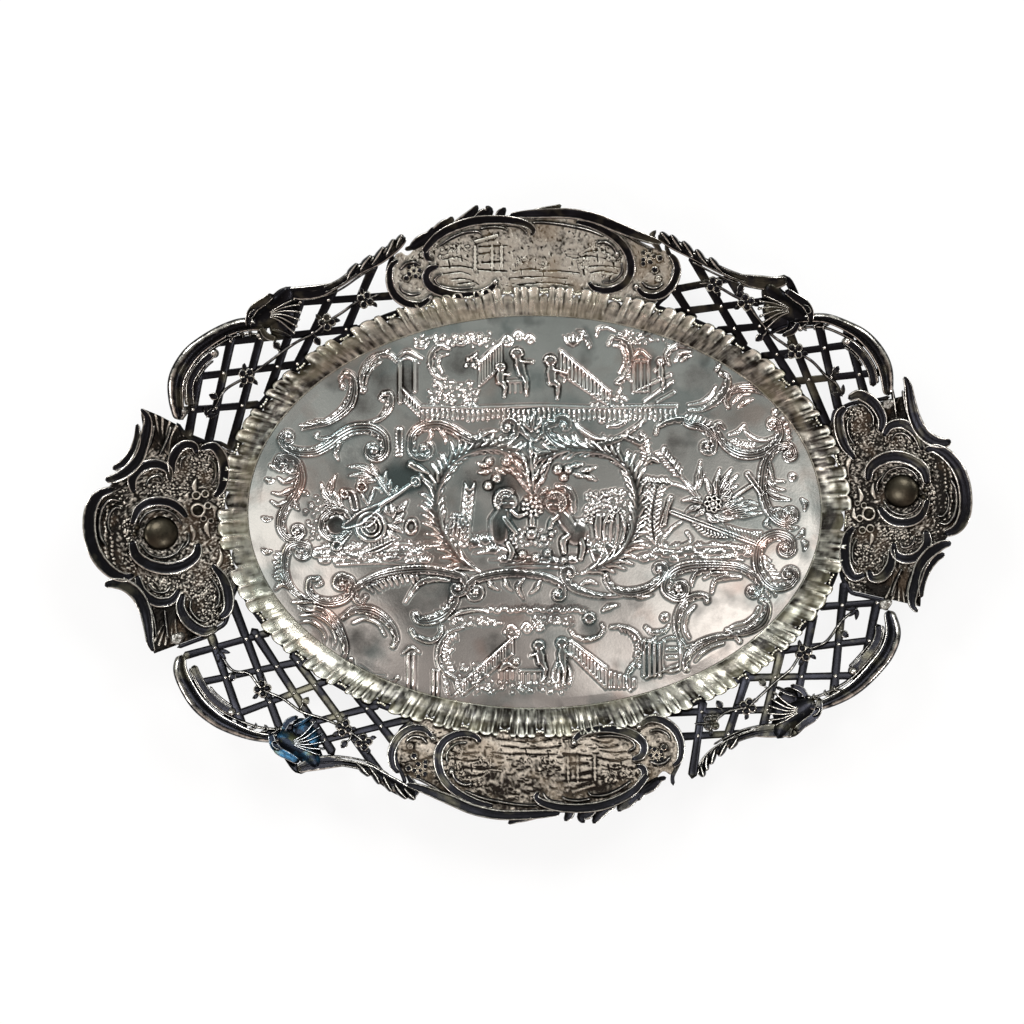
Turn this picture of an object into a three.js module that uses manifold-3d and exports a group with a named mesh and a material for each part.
// Oval silver tray: a flat chased well, a fluted wall with a scalloped edge, and a raised
// pierced border of four trellis panels, two long-side cartouches and two end cartouches.
// Millimetres, +X along the tray to the right end, +Y to the back, +Z up.
// The origin is the centre of the well's underside, on which the tray rests.
import * as THREE from "three";
import { mergeVertices } from "three/addons/utils/BufferGeometryUtils.js";
import Module from "manifold-3d";

const wasm = await Module();
wasm.setup();

// Well and fluted wall
const WELL_LENGTH = 209;
const WELL_WIDTH = 143;
const WELL_THICKNESS = 1.2;
const WELL_SIDES = 60;
const DRAWN_LENGTH = 209; // the well's size when the places of its relief were drawn
const DRAWN_WIDTH = 143;
const RELIEF_HEIGHT = 0.7;
const RELIEF_ROOT = 0.3; // how far a chased ridge goes down into the sheet, so that they are one
const RELIEF_STEP = 6;
const MOUND_SIDES = 10;
const WALL_RUN = 8.8; // how far the wall leans out between its foot and its edge
const WALL_THICKNESS = 1.1;
const WALL_FOOT_WIDTH = 1.8;
const WALL_HOLLOW = 1.3; // how far the wall's curve sinks below a straight slope
const SCALLOPS = 36;
const FLUTES_PER_SCALLOP = 4; // the last of them is the low notch between two scallops
const FLUTE_DEPTH = 0.8;
const LIP_REACH = 1.2; // how far the scalloped edge laps over the border
const NOTCH_DEPTH = 1.8;
const NECK_INSET = 2.4; // where the wall's back leaves the lip, inside the edge

// Border plates
const PLATE_THICKNESS = 1.4;
const SOLDER_GAP = 0.3; // left between any two pieces that are soldered together
const BORDER_FOOT = 11.7; // height of the plates' underside at the wall's edge
const BORDER_RISE = 0.38; // millimetres up for each millimetre out
const BORDER_FLARE = 0.0015; // what the rise gains with the square of the way out
const BORDER_TUCK = 1.6; // how far the plates run in under the lip
const PLATE_STEP = 7;
const RAIL_STEP = 8;
const PLATE_ROWS = 3;

// Trellis
const RAIL_WIDTH = 2.6;
const STEEP_BAR_WIDTH = 2.9;
const SHALLOW_BAR_WIDTH = 2.5;
const BAR_STEP = 14;
const BAR_OVERRUN = 7; // a bar is drawn this much too long and cut at the rails' middle
const BAR_RECESS = 0.15; // each layer of bars is thinner than the one before by this, on both faces

// Mouldings and flowers soldered onto the plates
const MOULDING_STEP = 4.5;
const STEM_STEP = 6;
const ARCH_CROWN = 2.4;
const SWEEP_CROWN = 2.2;
const SHELL_CROWN = 3.2;
const CREST_CROWN = 2.2;
const SCROLL_CROWN = 2;
const CRESCENT_CROWN = 2.8;
const WING_CROWN = 2.5;
const COLLAR_CROWN = 2.2;
const VINE_WIDTH = 2;
const VINE_CROWN = 1.2;
const STALK_CROWN = 1;
const FLOWER_RADIUS = 3.4;
const FLOWER_HEIGHT = 1.8;
const BUD_RADIUS = 1.9;
const BUD_HEIGHT = 1.5;
const PETAL_SIDES = 6;
const LEAF_WIDTH = 3.6;
const LEAF_TIP = 1.2;
const LEAF_CROWN = 1.6;
const BOSS_RADIUS = 6.3;
const BOSS_HEIGHT = 3.6;
const BOSS_SIDES = 16;

// The right end is hammered in a little further than the left one
const LEFT_END_DEPTH = 45;
const RIGHT_END_DEPTH = 40;
const FRONT_CREST_LIFT = 1.5; // the front crest stands this much further out than the back one

const FULL_TURN = 360;
const HALF_TURN = 180;
const FOOT_RAIL_SPANS = 8;
const UNCUT = 20; // degrees past a joint, where a moulding runs on over it
// What a side is called once a piece is turned half round
const OPPOSITE = { left: "right", right: "left", back: "front", front: "back" };

// Main ridges chased on the well, each [width, ...places], in millimetres from the tray's centre
const WELL_RIDGES = {
  upper_left: [
    [4.2, [-69, 50.6], [-66, 45], [-70, 36.5], [-84.5, 30.3]],
    [3, [-63, 45], [-59.8, 53.5], [-50.3, 55]],
    [3, [-55, 43], [-54, 36.5], [-61, 32.5]],
    [4.6, [-54.8, 21.8], [-60, 30.3], [-71, 27.5], [-80, 22], [-92, 26]],
  ],
  left: [
    [3.6, [-93, 19.5], [-85.5, 15], [-88.5, 4.5], [-92, -7], [-84.7, -7.5]],
    [3.2, [-83, -12.6], [-91, -17], [-89, -27], [-80, -33]],
    [3.2, [-79, -24.5], [-79, -32], [-66.5, -28], [-70, -23.5]],
  ],
  lower_left: [
    [4, [-61.5, -31], [-65, -28], [-50, -21.8], [-35, -21.5], [-25.3, -26.5]],
    [3.4, [-80, -34.5], [-73, -40], [-69.5, -49]],
    [3.8, [-70, -38.5], [-61, -35.8], [-52, -42], [-51.5, -49]],
  ],
  above_medallion: [
    [4, [-45, 24], [-41.5, 30.5], [-26, 27.7], [-10, 26], [-7, 32]],
    [3.6, [7.8, 32.6], [5, 28.6], [14, 24], [26.6, 25.2], [40.4, 33.5]],
    [3, [44.3, 28.5], [53.6, 33.5], [63.6, 28.9], [65.1, 22.5]],
  ],
  upper_right: [
    [3.2, [48.5, 52], [50, 57], [56, 58], [61, 54.5], [65.5, 50.5]],
    [3.2, [70, 45.7], [65.1, 39.4], [56.5, 37.1]],
    [3.2, [70.7, 38.2], [74, 43], [80, 41.5], [85.5, 36]],
    [3.8, [69.2, 30.4], [68.8, 25.1], [77.1, 20.8], [85.3, 22.9], [88, 30]],
  ],
  right: [
    [3.8, [93.6, 21], [88.3, 23.2], [83.2, 12], [86.1, -0.4], [94.8, -2.4]],
    [3.8, [94, -14], [88.3, -8.4], [81.2, -17.3], [88.3, -27], [92, -25]],
  ],
  lower_right: [
    [4.2, [50.6, -30.8], [47.9, -26.5], [54.5, -20.2], [73.2, -20], [81.6, -29.3]],
    [3.2, [63, -32.5], [56, -32], [52, -43], [57.8, -48.5]],
    [4.2, [82.8, -32.2], [82, -38.5], [76.5, -42.5], [70.2, -42]],
    [3.2, [55.5, -56], [57.5, -50.5], [65, -46.3], [73, -45.5]],
  ],
  below_medallion: [
    [3.4, [-23, -31], [-21, -24.5], [-8, -22.3], [6, -24.5], [10.6, -30.2]],
    [3, [10.5, -21.8], [13.8, -27.4], [24, -30.6], [31.5, -30.6]],
    [3.5, [26, -23], [29.5, -28.4], [41.3, -27.9], [47.6, -21.5]],
  ],
  wreath: [
    [5, [-10, 22.3], [-24, 21.5], [-34, 11.5], [-35.5, -1], [-30, -14], [-20, -21.5]],
    [5, [8.4, 21.2], [23.1, 22.2], [34.5, 14.3], [37.2, 0.6], [32.5, -14.1], [17.3, -22.5]],
    [6, [-1.9, 5], [-1.9, 22]],
  ],
  children: [
    [5.6, [-10, 4], [-14, -7]],
    [3.8, [-14, -7], [-7, -10], [-9, -16.5]],
    [5.6, [6.6, 4], [13.5, -6.6]],
    [3.8, [13.5, -6.6], [18.6, -6.4], [17.6, -16.4]],
  ],
  trophies: [
    [5, [-70, -5.5], [-56, 2]],
    [2, [-56, 2], [-43, 12.4]],
    [2.6, [-66, 2], [-74, 10]],
    [2, [50.3, -0.4], [80.5, -11]],
    [5, [48, -13], [44.6, 0], [45.6, 7]],
    [2.4, [63, 7], [60.3, 17]],
    [2.4, [69, 4], [76, 10]],
  ],
  gardens: [
    [2, [-49, 40], [-49, 51]],
    [2.4, [-31, 59.5], [-37.5, 56.5], [-35.6, 49.4], [-32.6, 48.6]],
    [6, [-20, 51], [-11.4, 58]],
    [6, [10, 54.5], [26, 42]],
    [2.4, [28, 59], [35, 55], [30, 47]],
    [6, [-36, 42], [-22, 42]],
    [3.4, [-41, 36], [52, 36]],
    [2.4, [39, 40], [39, 55]],
    [2.4, [-31, -44], [-35, -52], [-30, -60]],
    [6, [-26, -60], [-8, -48.5]],
    [6, [13, -49], [27, -59.5]],
    [2.4, [28, -42], [38.5, -50], [35.5, -56]],
    [2.4, [-45, -52], [-45, -58]],
    [2.4, [43, -47], [43, -58]],
  ],
};
// Mounds chased on the well, each [radius, place]
const WELL_MOUNDS = [
  [3.2, [-10, 6]], [3.2, [6.6, 5.5]], [4, [-1.8, -1]], [5.4, [-74, -5]], [6.4, [-60, -8]], [5.6, [51.3, -10]],
  [3.2, [65.4, 3.6]], [3, [-5.5, 52]], [3, [6, 51]], [3, [3, -51]], [2.6, [-10, -56]], [3, [10, -54]],
];

// Places on the border are [degrees round the tray, millimetres out from the wall's edge],
// and a third number is the width there. Lists run from the end cartouche to the side one.
const JOINTS = {
  left_back: 165.1,
  back_left: 122,
  back_right: 59.5,
  right_back: 18.6,
  right_front: -15.4,
  front_right: -58,
  front_left: -120.5,
  left_front: -158.6,
};

const PANELS = {
  back_left: {
    ends: ["left_back", "back_left"],
    arch: [[165.5, 22, 4], [162.5, 26.5, 5.5], [159.5, 30, 6], [156, 31, 6], [153, 30, 5.5], [149.5, 27.5, 5],
      [147, 24, 5], [145.5, 19, 3]],
    knuckle: [146.4, 138.4],
    shell: [[142.6, 14, 9], [142.2, 20, 14], [142, 26.5, 12]],
    sweep: [[139, 25.5, 3.5], [137, 21.5, 4.5], [134, 18.5, 3.5], [130.5, 18, 3], [126, 19.5, 3.5],
      [121.5, 20.5, 4], [117.5, 23, 4], [115.2, 25, 2.5]],
    steep: [[167.5, 17, 156.5, 25.5], [168, 9.5, 149.5, 25], [167.5, 1.5, 146.5, 18.5],
      [157.5, -0.5, 137, 20.5], [148.5, 0.5, 132, 17], [137, 0.5, 122.5, 20]],
    shallow: [[164, 23, 158, -1.5], [159, 27.5, 147.5, 0], [151.5, 25.5, 135, 1], [141, 23, 122.5, 6]],
    vine: [[164, 14], [162, 13], [158.5, 13.5], [155, 10.5], [152.5, 9], [148.5, 8], [144.5, 7.5], [141, 6.5],
      [137.5, 7.5], [134, 8], [130.5, 9], [128.5, 8.5], [125.5, 8.5]],
    flowers: [[154.8, 10.5], [137.6, 7.5], [128.6, 8.5]],
    buds: [[160.2, 15.5], [147.2, 11], [141.8, 3.5]],
  },
  back_right: {
    ends: ["right_back", "back_right"],
    arch: [[18.2, 25.5, 3.5], [22, 29.5, 5], [25, 31, 5.2], [28, 31, 4.8], [30.5, 29.5, 4], [33.5, 26.5, 3.5],
      [35.5, 22, 3], [36.7, 18, 2.5]],
    knuckle: [35.8, 42.9],
    shell: [[40, 13, 8], [39.6, 19, 12], [39.2, 26, 10.5]],
    sweep: [[42.5, 29, 3], [44, 25, 4], [47, 22, 3.5], [50, 21, 3], [54, 21, 2.8], [58.5, 22, 3],
      [62.5, 23.5, 4], [66, 25, 3]],
    steep: [[17, 17, 29, 27], [16.5, 6.5, 34.5, 24.5], [18.5, 2, 37.5, 16.5], [31, 3.5, 50, 19.5],
      [41, 2.5, 58.5, 21.5], [52, 2, 59, 9.5]],
    shallow: [[22, 28, 27.5, -1.5], [28, 25.5, 35.5, -2], [34.5, 22.5, 45.5, -0.5], [41, 22, 51.5, 4],
      [49.5, 20.5, 59, 7]],
    vine: [[20.5, 11.5], [23, 12.5], [25, 11.5], [28.5, 11.5], [31.5, 10], [34, 9.5], [37, 9.5], [41.5, 12],
      [45, 14.5], [47.5, 14.5], [52, 15], [54.5, 13]],
    flowers: [[31.7, 10], [44.8, 14.5], [51.6, 15]],
    buds: [[25.2, 15.5], [37.8, 6], [47.4, 18]],
  },
  front_right: {
    ends: ["right_front", "front_right"],
    arch: [[-15.5, 22.5, 4], [-18.5, 27.5, 5.5], [-21.5, 29.5, 5.5], [-24.5, 29.5, 5.5], [-28, 29, 5],
      [-31, 27.5, 4.5], [-34, 25, 3.5], [-36, 22, 2.5]],
    knuckle: [-34.6, -41.3],
    shell: [[-37.6, 14, 9], [-37.8, 20, 12.5], [-38, 27, 10.5]],
    sweep: [[-40.5, 27, 3.5], [-42, 23, 4], [-44.5, 20, 3.2], [-47.5, 18.5, 2.8], [-51, 18.5, 2.8],
      [-54, 19.5, 2.8], [-56.5, 22, 2.5], [-58, 25.5, 2]],
    steep: [[-14.5, 17.5, -25, 26], [-14, 5, -32.5, 27], [-18.5, -1, -37.5, 21], [-27.5, -1.5, -44, 20.5],
      [-37, -0.5, -50.5, 18], [-45, -5, -57.5, 20]],
    shallow: [[-15.5, 14, -19.5, -3.5], [-20, 26, -30.5, -1.5], [-26.5, 28, -40, -2], [-36, 22.5, -55.5, 0.5],
      [-45.5, 19, -56.5, 10]],
    vine: [[-16.5, 12.5], [-19.5, 10], [-24, 10], [-27.5, 6.5], [-31.5, 8], [-34.5, 8], [-39, 9], [-42.5, 10],
      [-46, 8], [-50, 9], [-53, 7]],
    flowers: [[-27.6, 6.8], [-42.4, 10], [-50, 9]],
    buds: [[-21.5, 13.5], [-36.8, 5.5], [-46.2, 4.5]],
  },
  front_left: {
    ends: ["left_front", "front_left"],
    arch: [[-158, 30.5, 3.5], [-156, 34, 5], [-153, 36, 5.5], [-150, 37, 5.5], [-147, 36.5, 5],
      [-144.5, 35, 4.5], [-141.5, 32.5, 3.5], [-139, 29, 3], [-137.4, 25.5, 2.5]],
    knuckle: [-138.4, -132.4],
    shell: [[-135.4, 19, 9], [-135.4, 25, 12], [-135.4, 32, 9.5]],
    sweep: [[-132.8, 34, 3], [-131.5, 30, 3.4], [-129.5, 26.5, 3], [-126.5, 24, 2.8], [-123, 23, 3.2],
      [-119.5, 24.5, 4.5], [-116, 26, 5], [-112.5, 27, 3]],
    steep: [[-160, 17.5, -144, 32], [-163.5, 5, -138.5, 26.5], [-151.5, 6.5, -135.5, 17.5],
      [-143.5, 3.5, -122.5, 21], [-130.5, 3, -118, 14.5]],
    shallow: [[-157.5, 27, -156, 5.5], [-153.5, 35.5, -148.5, 5], [-146.5, 36, -141.5, 3.5],
      [-140.5, 30, -130.5, 3], [-134, 23.5, -125, 6]],
    vine: [[-156.5, 19], [-152.5, 20], [-150.5, 16.5], [-147, 17.5], [-143.5, 15.5], [-139.5, 15.5],
      [-135.5, 13.5], [-132, 13], [-129.5, 13.5], [-126, 15]],
    flowers: [[-147, 17.3], [-131.5, 13], [-126.6, 14.8]],
    buds: [[-151.4, 21.5], [-140.4, 11.5], [-129.4, 18.2]],
  },
};

const SIDE_OUTLINE = [[120.5, 19.5], [115.5, 21.5], [111, 23], [105, 25], [98.5, 26], [92, 25.5], [85.5, 26],
  [79, 26], [73.5, 24], [67.5, 21.5], [60.5, 20.5]];
const SIDE_CREST = [[113.8, 20.8, 2], [110, 23, 3], [104, 24.5, 3.5], [97.5, 25.5, 3.5], [91, 25.5, 3.2],
  [84.5, 26.5, 3.2], [79, 26, 3.5], [73.5, 24.5, 3.5], [69, 22.5, 3], [66.4, 20.5, 2]];
const SIDE_LEAVES = {
  back: [[109.5, 27], [105.9, 28.5], [99.4, 30.5], [95.3, 29.5], [85.3, 30.5]],
  front: [[107.9, 28.6], [101.3, 31.1], [96.6, 31.7], [89.5, 30.2], [86.4, 30.8]],
};
const LEAF_SLANT = 2.5; // degrees by which a crest leaf leans back from its root
const SIDE_SCROLLS = {
  scroll_left: [[111, 18, 2.4], [112, 15, 3.2], [113.8, 10.5, 4], [113.2, 5.5, 4], [109.5, 3.5, 3.5],
    [104, 3.2, 3.2], [100, 4, 2.4]],
  scroll_right: [[71, 18.6, 2.6], [69, 14, 3.8], [68.2, 9, 4.2], [69.8, 5, 4], [73.5, 3.6, 3.4],
    [77, 4, 2.4]],
  corner_left: [[119.2, 17.2, 2.4], [121.4, 12, 3.8], [122, 6.8, 4.2], [120, 3.8, 3.6], [117, 3.8, 2.4]],
  corner_right: [[61, 16.8, 2.6], [59.6, 11.5, 4.2], [60, 6, 4.2], [62.4, 4, 3.6], [65.2, 5, 2.4]],
};

// The end cartouche as it stands on the left
const END_OUTLINE = [[164, 22], [166, 28], [168, 31], [171, 31.5], [173.5, 34.5], [176, 38.5], [179, 43],
  [182, 44.5], [185, 42.5], [188, 38.5], [190.5, 36], [193.5, 33.5], [196.5, 33.5], [199, 32], [202, 27.5]];
const END_MOULDINGS = {
  crescent: [CRESCENT_CROWN, [[178.2, 35.5, 3], [177.8, 39.5, 4], [179.2, 43.5, 5], [181.4, 45, 5.5],
    [184, 44.5, 5.5], [186.7, 41.8, 5], [188.6, 37.5, 3.5]]],
  wing_back: [WING_CROWN, [[165.7, 36, 2.5], [168, 32, 4], [170.4, 31, 4.5], [173, 32.5, 4.5], [174.9, 36, 4],
    [175.7, 39.5, 2.6]]],
  wing_front: [WING_CROWN, [[189.8, 42.5, 3], [190.8, 38.5, 4], [193, 35.5, 4.5], [195.5, 35, 4.5],
    [198, 36.5, 4], [199.6, 38, 2.5]]],
  collar_back: [COLLAR_CROWN, [[182, 30.5, 2.5], [180, 28.6, 3.5], [178.8, 23, 4], [179.3, 17, 4],
    [181, 13, 2.5]]],
  collar_front: [COLLAR_CROWN, [[184.4, 31.5, 2.5], [186.7, 29.5, 4.2], [188, 23.5, 4.6],
    [187.6, 16.5, 4.5], [185.6, 10.5, 2.5]]],
};
const END_BOSS = [183, 21.5];

// Unit sections, across and up: a ridged moulding, a flat bar and a stem
const RIDGED_SECTION = [[-1, 0], [1, 0], [0.8, 0.6], [0, 1], [-0.8, 0.6]];
const FLAT_SECTION = [[-1, 0], [1, 0], [1, 1], [-1, 1]];
const STEM_SECTION = [[-1, 0], [1, 0], [0, 1]];
// Unit profiles, out and up, for a flower with a raised heart, a bud, a mound and a dome
const FLOWER_PROFILE = [[0, 0], [1, 0], [0.85, 0.6], [0.35, 0.5], [0, 1]];
const BUD_PROFILE = [[0, 0], [1, 0], [0, 1]];
const MOUND_PROFILE = [[0, 0], [1, 0], [0.6, 0.85], [0, 1]];
const DOME_PROFILE = [[0, 0], [1, 0], [0.95, 0.4], [0.7, 0.8], [0.35, 0.97], [0, 1]];

const MATERIALS = {
  well: { color: 0xb8b2b0, roughness: 0.22, metalness: 1 },
  wall: { color: 0x989282, roughness: 0.34, metalness: 1 },
  plate: { color: 0x8a8374, roughness: 0.42, metalness: 1 },
  dark: { color: 0x3b3935, roughness: 0.38, metalness: 1 },
  boss: { color: 0x5a5142, roughness: 0.3, metalness: 1 },
};

const seat = PLATE_THICKNESS + SOLDER_GAP; // how high a soldered moulding's underside lies over the plate's
const halfLength = WELL_LENGTH / 2 + WALL_RUN;
const halfWidth = WELL_WIDTH / 2 + WALL_RUN;
const tray = new THREE.Group();

function ovalRadius(degrees, alongX, alongY) {
  const angle = THREE.MathUtils.degToRad(degrees);
  return 1 / Math.hypot(Math.cos(angle) / alongX, Math.sin(angle) / alongY);
}

function edgeRadius(degrees) {
  return ovalRadius(degrees, halfLength, halfWidth);
}

function creaseRadius(degrees) {
  return ovalRadius(degrees, WELL_LENGTH / 2, WELL_WIDTH / 2);
}

// The plan point that lies a way out from the wall's edge, at an angle round the tray.
function planPoint(degrees, out) {
  const radius = edgeRadius(degrees) + out;
  const angle = THREE.MathUtils.degToRad(degrees);
  return [radius * Math.cos(angle), radius * Math.sin(angle)];
}

function borderHeight(out) {
  return BORDER_FOOT + BORDER_RISE * out + BORDER_FLARE * out * out;
}

// Height of the border plates' underside over a plan point.
function drape(x, y) {
  const degrees = THREE.MathUtils.radToDeg(Math.atan2(y, x));
  return borderHeight(Math.hypot(x, y) - edgeRadius(degrees));
}

// The angle that a length spans where the border starts.
function spanDegrees(length, degrees) {
  return THREE.MathUtils.radToDeg(length / edgeRadius(degrees));
}

// Value of a [degrees, out] list at an angle, straight between its points.
function outAt(points, degrees) {
  const ahead = points.findIndex(([angle], i) => {
    return i > 0 && (degrees - angle) * (degrees - points[i - 1][0]) <= 0;
  });
  if (ahead < 0) {
    const first = Math.abs(points[0][0] - degrees) < Math.abs(points.at(-1)[0] - degrees);
    return first ? points[0][1] : points.at(-1)[1];
  }
  const [from, to] = [points[ahead - 1], points[ahead]];
  return THREE.MathUtils.mapLinear(degrees, from[0], to[0], from[1], to[1]);
}

// A closed body through rings of points, each joined to the next. Its two end rings are
// capped, or joined to each other where the body runs round the tray.
function loft(rings, joined = false) {
  const size = rings[0].length;
  const faces = [];
  const spans = joined ? rings.length : rings.length - 1;
  for (let i = 0; i < spans; i += 1) {
    const here = i * size;
    const next = ((i + 1) % rings.length) * size;
    for (let j = 0; j < size; j += 1) {
      const k = (j + 1) % size;
      faces.push(here + j, here + k, next + k, here + j, next + k, next + j);
    }
  }
  if (!joined) {
    const last = (rings.length - 1) * size;
    const loop = rings[0].map((_, j) => j);
    capFaces(rings[0]).forEach((corner) => faces.push(loop[corner]));
    capFaces(rings.at(-1)).reverse().forEach((corner) => faces.push(last + corner));
  }
  const geometry = new THREE.BufferGeometry();
  geometry.setAttribute("position", new THREE.Float32BufferAttribute(rings.flat(2), 3));
  geometry.setIndex(faces);
  return facingOut(geometry);
}

// Corner numbers of the triangles that close a ring whose first half runs out and second half back.
function capFaces(ring) {
  const faces = [];
  let low = 0;
  let high = ring.length - 1;
  while (high - low > 1) {
    faces.push(low, high, low + 1);
    if (high - 1 > low + 1) {
      faces.push(low + 1, high, high - 1);
    }
    low += 1;
    high -= 1;
  }
  return faces;
}

// Turns a closed body's faces round where its signed volume is negative.
function facingOut(geometry) {
  const point = geometry.getAttribute("position");
  const index = geometry.getIndex().array;
  const [a, b, c] = [new THREE.Vector3(), new THREE.Vector3(), new THREE.Vector3()];
  let volume = 0;
  for (let i = 0; i < index.length; i += 3) {
    a.fromBufferAttribute(point, index[i]);
    b.fromBufferAttribute(point, index[i + 1]);
    c.fromBufferAttribute(point, index[i + 2]);
    volume += a.dot(b.cross(c));
  }
  if (volume < 0) {
    index.reverse();
  }
  return geometry;
}

// A unit section carried along a plan curve whose third coordinate is the width there. It stands on
// the border's slope or on another base height.
function strip(curve, section, { height, lift, step, base = drape }) {
  const count = Math.max(2, Math.ceil(curve.getLength() / step));
  const rings = [];
  for (let i = 0; i <= count; i += 1) {
    const at = curve.getPointAt(i / count);
    const along = curve.getTangentAt(i / count).setZ(0).normalize();
    rings.push(section.map(([across, up]) => {
      const x = at.x - (along.y * across * at.z) / 2;
      const y = at.y + (along.x * across * at.z) / 2;
      return [x, y, base(x, y) + lift + up * height];
    }));
  }
  return loft(rings);
}

// A smooth plan curve through border places; its third coordinate is the width.
function borderCurve(places, width) {
  return new THREE.CatmullRomCurve3(places.map(([degrees, out, own]) => {
    return new THREE.Vector3(...planPoint(degrees, out), own ?? width);
  }));
}

// A ridged moulding soldered onto the plates. It keeps clear of the wall's lip.
function moulding(places, crown) {
  const clear = places.map(([degrees, out, width]) => {
    return [degrees, Math.max(out, LIP_REACH + SOLDER_GAP + width / 2), width];
  });
  return strip(borderCurve(clear), RIDGED_SECTION, { height: crown, lift: seat, step: MOULDING_STEP });
}

// A flat rail of the pierced plate.
function rail(places) {
  const options = { height: PLATE_THICKNESS, lift: 0, step: RAIL_STEP };
  return strip(borderCurve(places, RAIL_WIDTH), FLAT_SECTION, options);
}

// A straight trellis bar between two border places, thinner than the rails by its layer's recess.
function bar([fromDegrees, fromOut, toDegrees, toOut], width, recess) {
  const start = new THREE.Vector3(...planPoint(fromDegrees, fromOut), width);
  const end = new THREE.Vector3(...planPoint(toDegrees, toOut), width);
  const overrun = end.clone().sub(start).setZ(0).setLength(BAR_OVERRUN);
  const line = new THREE.LineCurve3(start.sub(overrun), end.add(overrun));
  const options = { height: PLATE_THICKNESS - 2 * recess, lift: recess, step: BAR_STEP };
  return strip(line, FLAT_SECTION, options);
}

// A turned shape set down on the plates' slope, round an upright axis.
function roundel([degrees, out], profile, radius, height, sides, lift) {
  const points = profile.map(([r, z]) => new THREE.Vector2(r * radius, z * height));
  const geometry = new THREE.LatheGeometry(points, sides);
  geometry.rotateX(Math.PI / 2);
  const [x, y] = planPoint(degrees, out);
  geometry.translate(x, y, lift);
  const point = geometry.getAttribute("position");
  for (let i = 0; i < point.count; i += 1) {
    point.setZ(i, point.getZ(i) + drape(point.getX(i), point.getY(i)));
  }
  return facingOut(bare(geometry));
}

// Only the places of a geometry, with shared corners merged.
function bare(geometry) {
  geometry.deleteAttribute("normal");
  geometry.deleteAttribute("uv");
  return mergeVertices(geometry, 1e-4);
}

// A plate that fills the border between two angles, from under the lip to its outline.
function plate(outline, from, to, { bottom = 0, top = PLATE_THICKNESS, inner = -BORDER_TUCK } = {}) {
  const length = THREE.MathUtils.degToRad(Math.abs(to - from)) * (halfLength + halfWidth) / 2;
  const count = Math.ceil(length / PLATE_STEP);
  const rings = [];
  for (let i = 0; i <= count; i += 1) {
    const degrees = THREE.MathUtils.lerp(from, to, i / count);
    const reach = outAt(outline, degrees);
    const row = (k, lift) => {
      const out = THREE.MathUtils.lerp(inner, reach, k / PLATE_ROWS);
      return [...planPoint(degrees, out), borderHeight(out) + lift];
    };
    const rows = Array.from({ length: PLATE_ROWS + 1 }, (_, k) => k);
    rings.push([...rows.map((k) => row(k, bottom)), ...rows.toReversed().map((k) => row(k, top))]);
  }
  return loft(rings);
}

function solid(geometry) {
  const merged = geometry.getIndex() ? geometry : mergeVertices(geometry, 1e-4);
  const vertProperties = new Float32Array(merged.getAttribute("position").array);
  const triVerts = new Uint32Array(merged.getIndex().array);
  return new wasm.Manifold(new wasm.Mesh({ numProp: 3, vertProperties, triVerts }));
}

function joinAll(geometries) {
  return geometries.map(solid).reduce((whole, next) => whole.add(next));
}

function surface(manifold) {
  const { vertProperties, triVerts } = manifold.getMesh();
  const geometry = new THREE.BufferGeometry();
  geometry.setAttribute("position", new THREE.BufferAttribute(new Float32Array(vertProperties), 3));
  geometry.setIndex(new THREE.BufferAttribute(new Uint32Array(triVerts), 1));
  return geometry;
}

// An upright wedge about the tray's centre that holds what lies between two angles, less half a
// solder gap at each.
function wedge(from, to) {
  const direction = Math.sign(to - from);
  const start = from + direction * spanDegrees(SOLDER_GAP / 2, from);
  const end = to - direction * spanDegrees(SOLDER_GAP / 2, to);
  const reach = 3 * halfLength;
  const shape = new THREE.Shape();
  shape.moveTo(0, 0);
  [start, (start + end) / 2, end].forEach((degrees) => {
    const angle = THREE.MathUtils.degToRad(degrees);
    shape.lineTo(reach * Math.cos(angle), reach * Math.sin(angle));
  });
  const geometry = new THREE.ExtrudeGeometry(shape, { depth: reach, bevelEnabled: false });
  return solid(facingOut(bare(geometry)));
}

function addPiece(name, geometry, finish) {
  const mesh = new THREE.Mesh(geometry, new THREE.MeshStandardMaterial(MATERIALS[finish]));
  mesh.name = name;
  tray.add(mesh);
}

// A place on the well, which keeps its share of the way to the well's edge.
function onWell([x, y]) {
  return [x * (WELL_LENGTH / DRAWN_LENGTH), y * (WELL_WIDTH / DRAWN_WIDTH)];
}

// A chased ridge, sunk into the sheet by its root.
function wellRidge([width, ...places]) {
  const curve = new THREE.CatmullRomCurve3(places.map((place) => new THREE.Vector3(...onWell(place), width)));
  return strip(curve, STEM_SECTION, {
    height: RELIEF_HEIGHT + RELIEF_ROOT,
    lift: -RELIEF_ROOT,
    step: RELIEF_STEP,
    base: () => WELL_THICKNESS,
  });
}

function wellMound([radius, place]) {
  const height = RELIEF_HEIGHT + RELIEF_ROOT;
  const points = MOUND_PROFILE.map(([r, z]) => new THREE.Vector2(r * radius, z * height - RELIEF_ROOT));
  const geometry = new THREE.LatheGeometry(points, MOUND_SIDES);
  geometry.rotateX(Math.PI / 2);
  geometry.translate(...onWell(place), WELL_THICKNESS);
  return facingOut(bare(geometry));
}

function addWell() {
  const outline = new THREE.Shape();
  const inset = SOLDER_GAP / 2;
  outline.absellipse(0, 0, WELL_LENGTH / 2 - inset, WELL_WIDTH / 2 - inset, 0, 2 * Math.PI);
  const options = { depth: WELL_THICKNESS, bevelEnabled: false, curveSegments: WELL_SIDES };
  const sheet = bare(new THREE.ExtrudeGeometry(outline, options));
  const relief = [...Object.values(WELL_RIDGES).flat().map(wellRidge), ...WELL_MOUNDS.map(wellMound)];
  addPiece("well_plate", surface(joinAll([sheet, ...relief])), "well");
}

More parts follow.
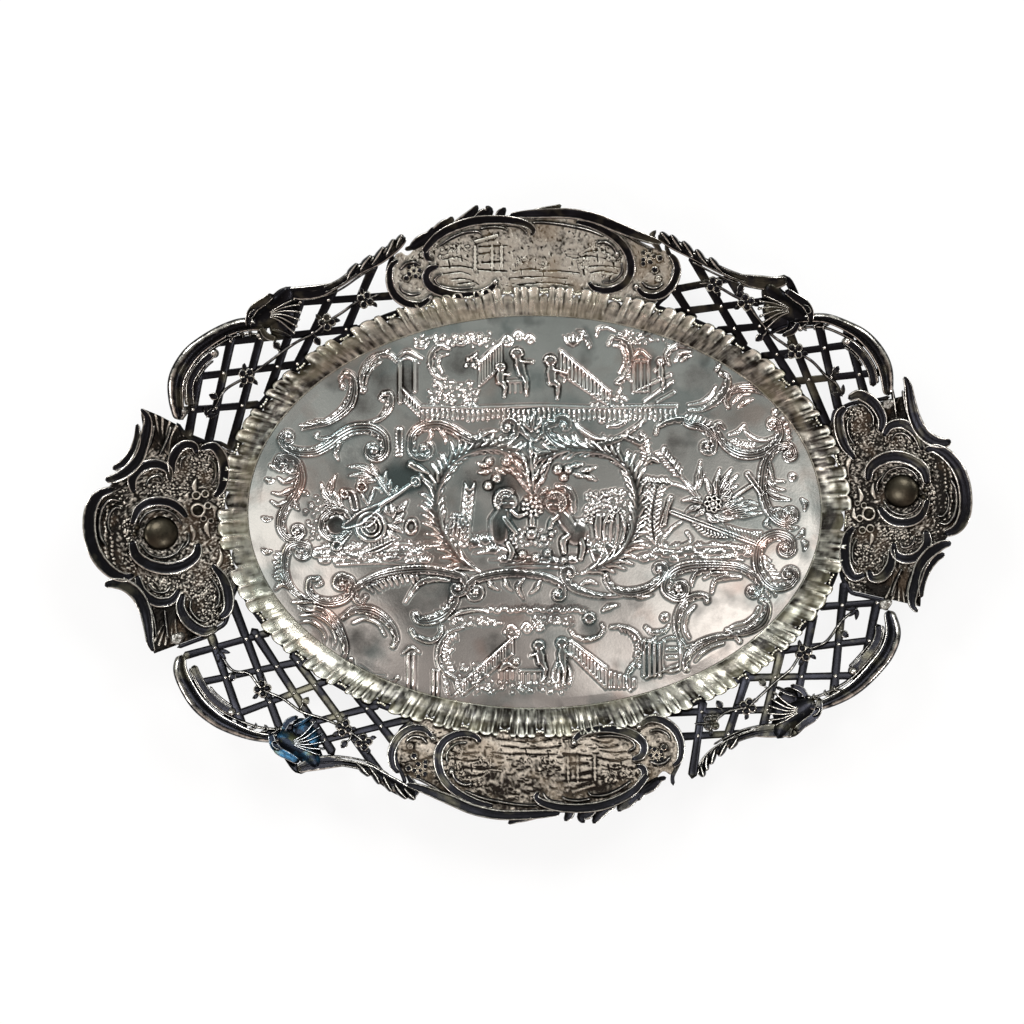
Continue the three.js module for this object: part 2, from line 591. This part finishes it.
// One section of the fluted wall: its foot beside the well, its hollow face, its shoulder, and the
// lip that laps over the border. A flute's ridge stands up by half the flute depth and its valley
// lies as far down, and a notch cuts the lip back.
function wallRing(degrees, ridge, notch) {
  const foot = creaseRadius(degrees) - edgeRadius(degrees) + SOLDER_GAP / 2;
  const lipTip = LIP_REACH - notch;
  const lipUnder = borderHeight(lipTip) + seat;
  const neck = -NECK_INSET;
  const neckUnder = borderHeight(neck) + seat;
  const middle = (foot + neck) / 2 + WALL_HOLLOW;
  const middleHeight = neckUnder / 2 - WALL_HOLLOW + ridge;
  const diagonal = WALL_THICKNESS * Math.SQRT1_2;
  const section = [
    [foot, 0],
    [middle, middleHeight],
    [neck - diagonal, neckUnder + diagonal + ridge / 2],
    [lipTip, lipUnder + WALL_THICKNESS + ridge],
    [lipTip, lipUnder],
    [neck, neckUnder],
    [middle + diagonal, middleHeight - diagonal],
    [foot + WALL_FOOT_WIDTH, 0],
  ];
  return section.map(([out, z]) => [...planPoint(degrees, out), z]);
}

function addWall() {
  const flutes = SCALLOPS * FLUTES_PER_SCALLOP;
  const rings = [];
  for (let i = 0; i < flutes; i += 1) {
    const atNotch = i % FLUTES_PER_SCALLOP === FLUTES_PER_SCALLOP - 1;
    const pitch = FULL_TURN / flutes;
    rings.push(wallRing(i * pitch, FLUTE_DEPTH / 2, atNotch ? NOTCH_DEPTH : 0));
    rings.push(wallRing((i + 0.5) * pitch, -FLUTE_DEPTH / 2, atNotch ? NOTCH_DEPTH : NOTCH_DEPTH / 4));
  }
  addPiece("fluted_wall", loft(rings, true), "wall");
}

// A pierced panel: rails round its edge, and two layers of straight bars cut off at the rails.
function trellis({ ends, arch, sweep, steep, shallow }) {
  const [from, to] = ends.map((name) => JOINTS[name]);
  const rim = [...arch.slice(0, -1), ...sweep].map(([degrees, out]) => [degrees, out]);
  const inward = RAIL_WIDTH / 2 - BORDER_TUCK;
  const footPlaces = Array.from({ length: FOOT_RAIL_SPANS + 1 }, (_, i) => {
    return [THREE.MathUtils.lerp(from, to, i / FOOT_RAIL_SPANS), inward];
  });
  const rails = [rail(rim), rail(footPlaces)];
  [[from, 1], [to, -1]].forEach(([joint, side]) => {
    const inset = Math.sign(to - from) * side * spanDegrees(RAIL_WIDTH / 2, joint);
    rails.push(rail([[joint + inset, inward], [joint + inset, outAt(rim, joint)]]));
  });
  const bars = [
    ...steep.map((places) => bar(places, STEEP_BAR_WIDTH, BAR_RECESS)),
    ...shallow.map((places) => bar(places, SHALLOW_BAR_WIDTH, 2 * BAR_RECESS)),
  ];
  const inside = plate(rim, from, to, { bottom: -PLATE_THICKNESS, top: 2 * PLATE_THICKNESS, inner: inward });
  return joinAll(rails).add(joinAll(bars).intersect(solid(inside))).intersect(wedge(from, to));
}

function flowerVine({ vine, flowers, buds }) {
  const options = { height: VINE_CROWN, lift: seat, step: STEM_STEP };
  const stem = strip(borderCurve(vine, VINE_WIDTH), STEM_SECTION, options);
  const blooms = flowers.map((place) => {
    return roundel(place, FLOWER_PROFILE, FLOWER_RADIUS, FLOWER_HEIGHT, PETAL_SIDES, seat);
  });
  const stalks = buds.map(([degrees, out]) => {
    const places = [[degrees, out, VINE_WIDTH], [degrees, outAt(vine, degrees), VINE_WIDTH]];
    return strip(borderCurve(places), STEM_SECTION, { ...options, height: STALK_CROWN });
  });
  const heads = buds.map((place) => roundel(place, BUD_PROFILE, BUD_RADIUS, BUD_HEIGHT, PETAL_SIDES, seat));
  return joinAll([stem, ...blooms, ...stalks, ...heads]);
}

function addPanel(name, panel) {
  addPiece(`${name}_trellis`, surface(trellis(panel)), "dark");
  addPiece(`${name}_vine`, surface(flowerVine(panel)), "dark");
  const [archEnd, sweepStart] = panel.knuckle;
  const [from, to] = panel.ends.map((joint) => JOINTS[joint]);
  const past = to + UNCUT * Math.sign(to - from);
  const arch = solid(moulding(panel.arch, ARCH_CROWN)).intersect(wedge(from, archEnd));
  const shell = solid(moulding(panel.shell, SHELL_CROWN)).intersect(wedge(archEnd, sweepStart));
  const sweep = solid(moulding(panel.sweep, SWEEP_CROWN)).intersect(wedge(sweepStart, past));
  addPiece(`${name}_arch`, surface(arch), "dark");
  addPiece(`${name}_shell`, surface(shell), "dark");
  addPiece(`${name}_sweep`, surface(sweep), "dark");
}

// A part's own name, such as scroll_left, as it is after a turn.
function nameTurned(part, turned) {
  const [kind, ...rest] = part.split("_");
  const side = rest.at(-1);
  return turned && side ? [kind, OPPOSITE[side]].join("_") : part;
}

// A long-side cartouche, at the back or turned half round to the front.
function addSideCartouche(name, turned, lift, from, to) {
  const turn = (places, out = 0) => {
    return places.map(([degrees, reach, ...rest]) => [degrees + turned, reach + out, ...rest]);
  };
  const outline = turn(SIDE_OUTLINE, lift);
  const clearance = spanDegrees(SOLDER_GAP / 2, from);
  addPiece(`${name}_cartouche`, plate(outline, from - clearance, to + clearance), "plate");
  const crest = turn(SIDE_CREST, lift);
  const leaves = turn(SIDE_LEAVES[name]).map(([degrees, out]) => {
    const root = degrees - LEAF_SLANT;
    const places = [[root, outAt(crest, root), LEAF_WIDTH], [degrees, out, LEAF_TIP]];
    return strip(borderCurve(places), STEM_SECTION, { height: LEAF_CROWN, lift: seat, step: LEAF_WIDTH });
  });
  addPiece(`${name}_crest`, surface(joinAll([moulding(crest, CREST_CROWN), ...leaves])), "dark");
  Object.entries(SIDE_SCROLLS).forEach(([part, places]) => {
    addPiece(`${name}_${nameTurned(part, turned)}`, moulding(turn(places), SCROLL_CROWN), "dark");
  });
}

// An end cartouche, at the left or turned half round to the right.
function addEndCartouche(name, turned, depth, from, to) {
  const share = depth / LEFT_END_DEPTH;
  const turn = (places) => places.map(([degrees, out, ...rest]) => [degrees + turned, out * share, ...rest]);
  const clearance = spanDegrees(SOLDER_GAP / 2, from);
  addPiece(`${name}_cartouche`, plate(turn(END_OUTLINE), from + clearance, to - clearance), "plate");
  Object.entries(END_MOULDINGS).forEach(([part, [crown, places]]) => {
    addPiece(`${name}_${nameTurned(part, turned)}`, moulding(turn(places), crown), "dark");
  });
  const [boss] = turn([END_BOSS]);
  addPiece(`${name}_boss`, roundel(boss, DOME_PROFILE, BOSS_RADIUS, BOSS_HEIGHT, BOSS_SIDES, seat), "boss");
}

addWell();
addWall();
Object.entries(PANELS).forEach(([name, panel]) => addPanel(name, panel));
addSideCartouche("back", 0, 0, JOINTS.back_left, JOINTS.back_right);
addSideCartouche(
  "front", HALF_TURN, FRONT_CREST_LIFT, JOINTS.front_right + FULL_TURN, JOINTS.front_left + FULL_TURN,
);
addEndCartouche("left", 0, LEFT_END_DEPTH, JOINTS.left_back, JOINTS.left_front + FULL_TURN);
addEndCartouche(
  "right", HALF_TURN, RIGHT_END_DEPTH, JOINTS.right_front + FULL_TURN, JOINTS.right_back + FULL_TURN,
);

export default tray;
